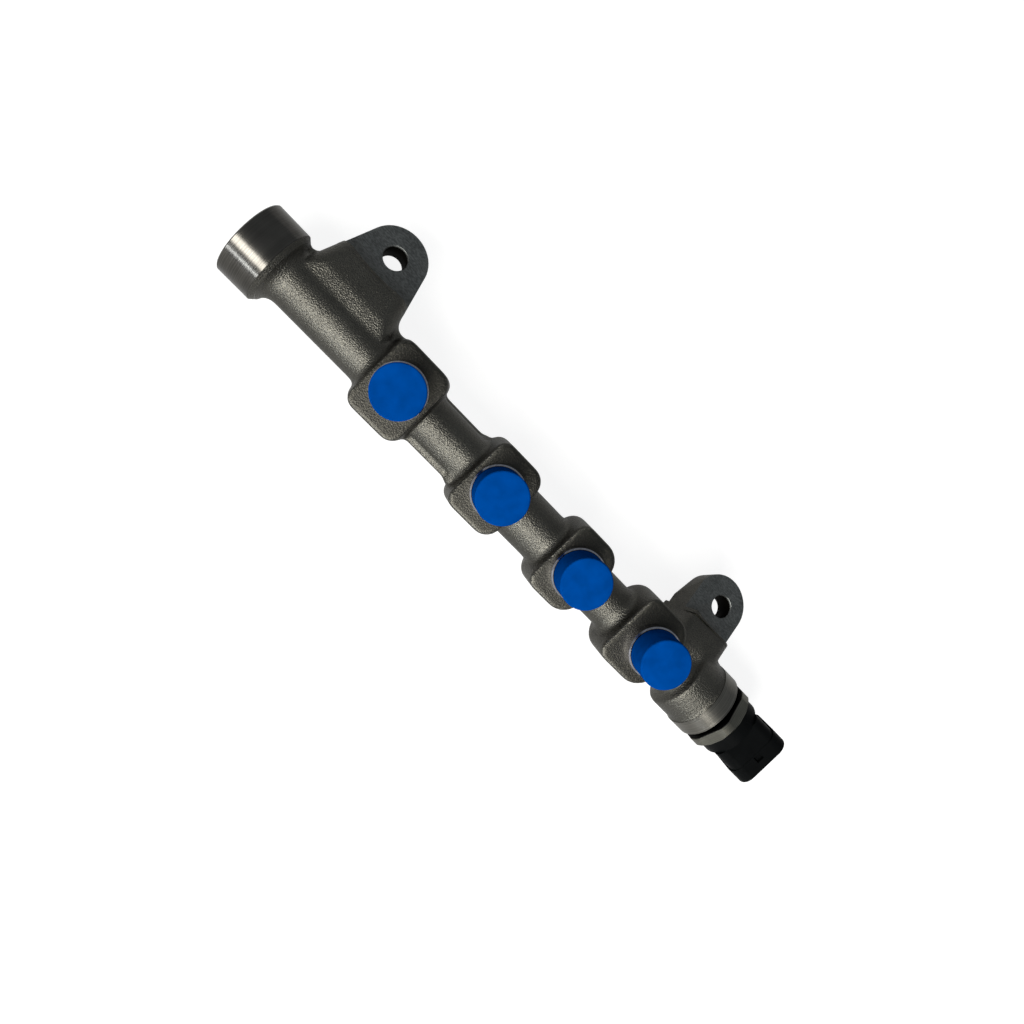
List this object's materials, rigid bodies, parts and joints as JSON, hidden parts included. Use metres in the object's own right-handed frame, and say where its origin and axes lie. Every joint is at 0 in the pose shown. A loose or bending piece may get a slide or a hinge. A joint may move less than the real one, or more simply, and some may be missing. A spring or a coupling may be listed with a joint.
{
  "type": "fuel_rail",
  "caption": "Forged steel common rail for a four-cylinder diesel engine: bolt ears, capped injector outlets, open inlet port and a screwed-in pressure sensor with plug connector.",
  "frame": {"origin": "Midway between the two bolt holes, in the plane of the ears' seating faces", "axes": "+X along the rail from the inlet head to the sensor, +Z along the mounting bolts toward their heads, +Y from the rail's tube toward the bolts"},
  "size_m": [0.2572, 0.061, 0.0446],
  "materials": {
    "blasted_steel": "shot-blasted forging with turned and milled faces",
    "cap_blue": "matte moulded",
    "sensor_steel": "satin turned",
    "cell_steel": "satin turned",
    "seal_rubber": "smooth",
    "board_green": "satin lacquer",
    "connector_black": "satin moulded",
    "contact_brass": "tinned bright"
  },
  "bodies": {
    "root": {"rail_body": "blasted_steel", "outlet_cap_1": "cap_blue", "outlet_cap_2": "cap_blue", "outlet_cap_3": "cap_blue", "outlet_cap_4": "cap_blue", "sensor_body": "sensor_steel", "sensor_pressure_cell": "cell_steel", "sensor_seal": "seal_rubber", "sensor_circuit_board": "board_green", "sensor_connector": "connector_black", "sensor_terminal_1": "contact_brass", "sensor_terminal_2": "contact_brass", "sensor_terminal_3": "contact_brass"}
  },
  "joints": []
}
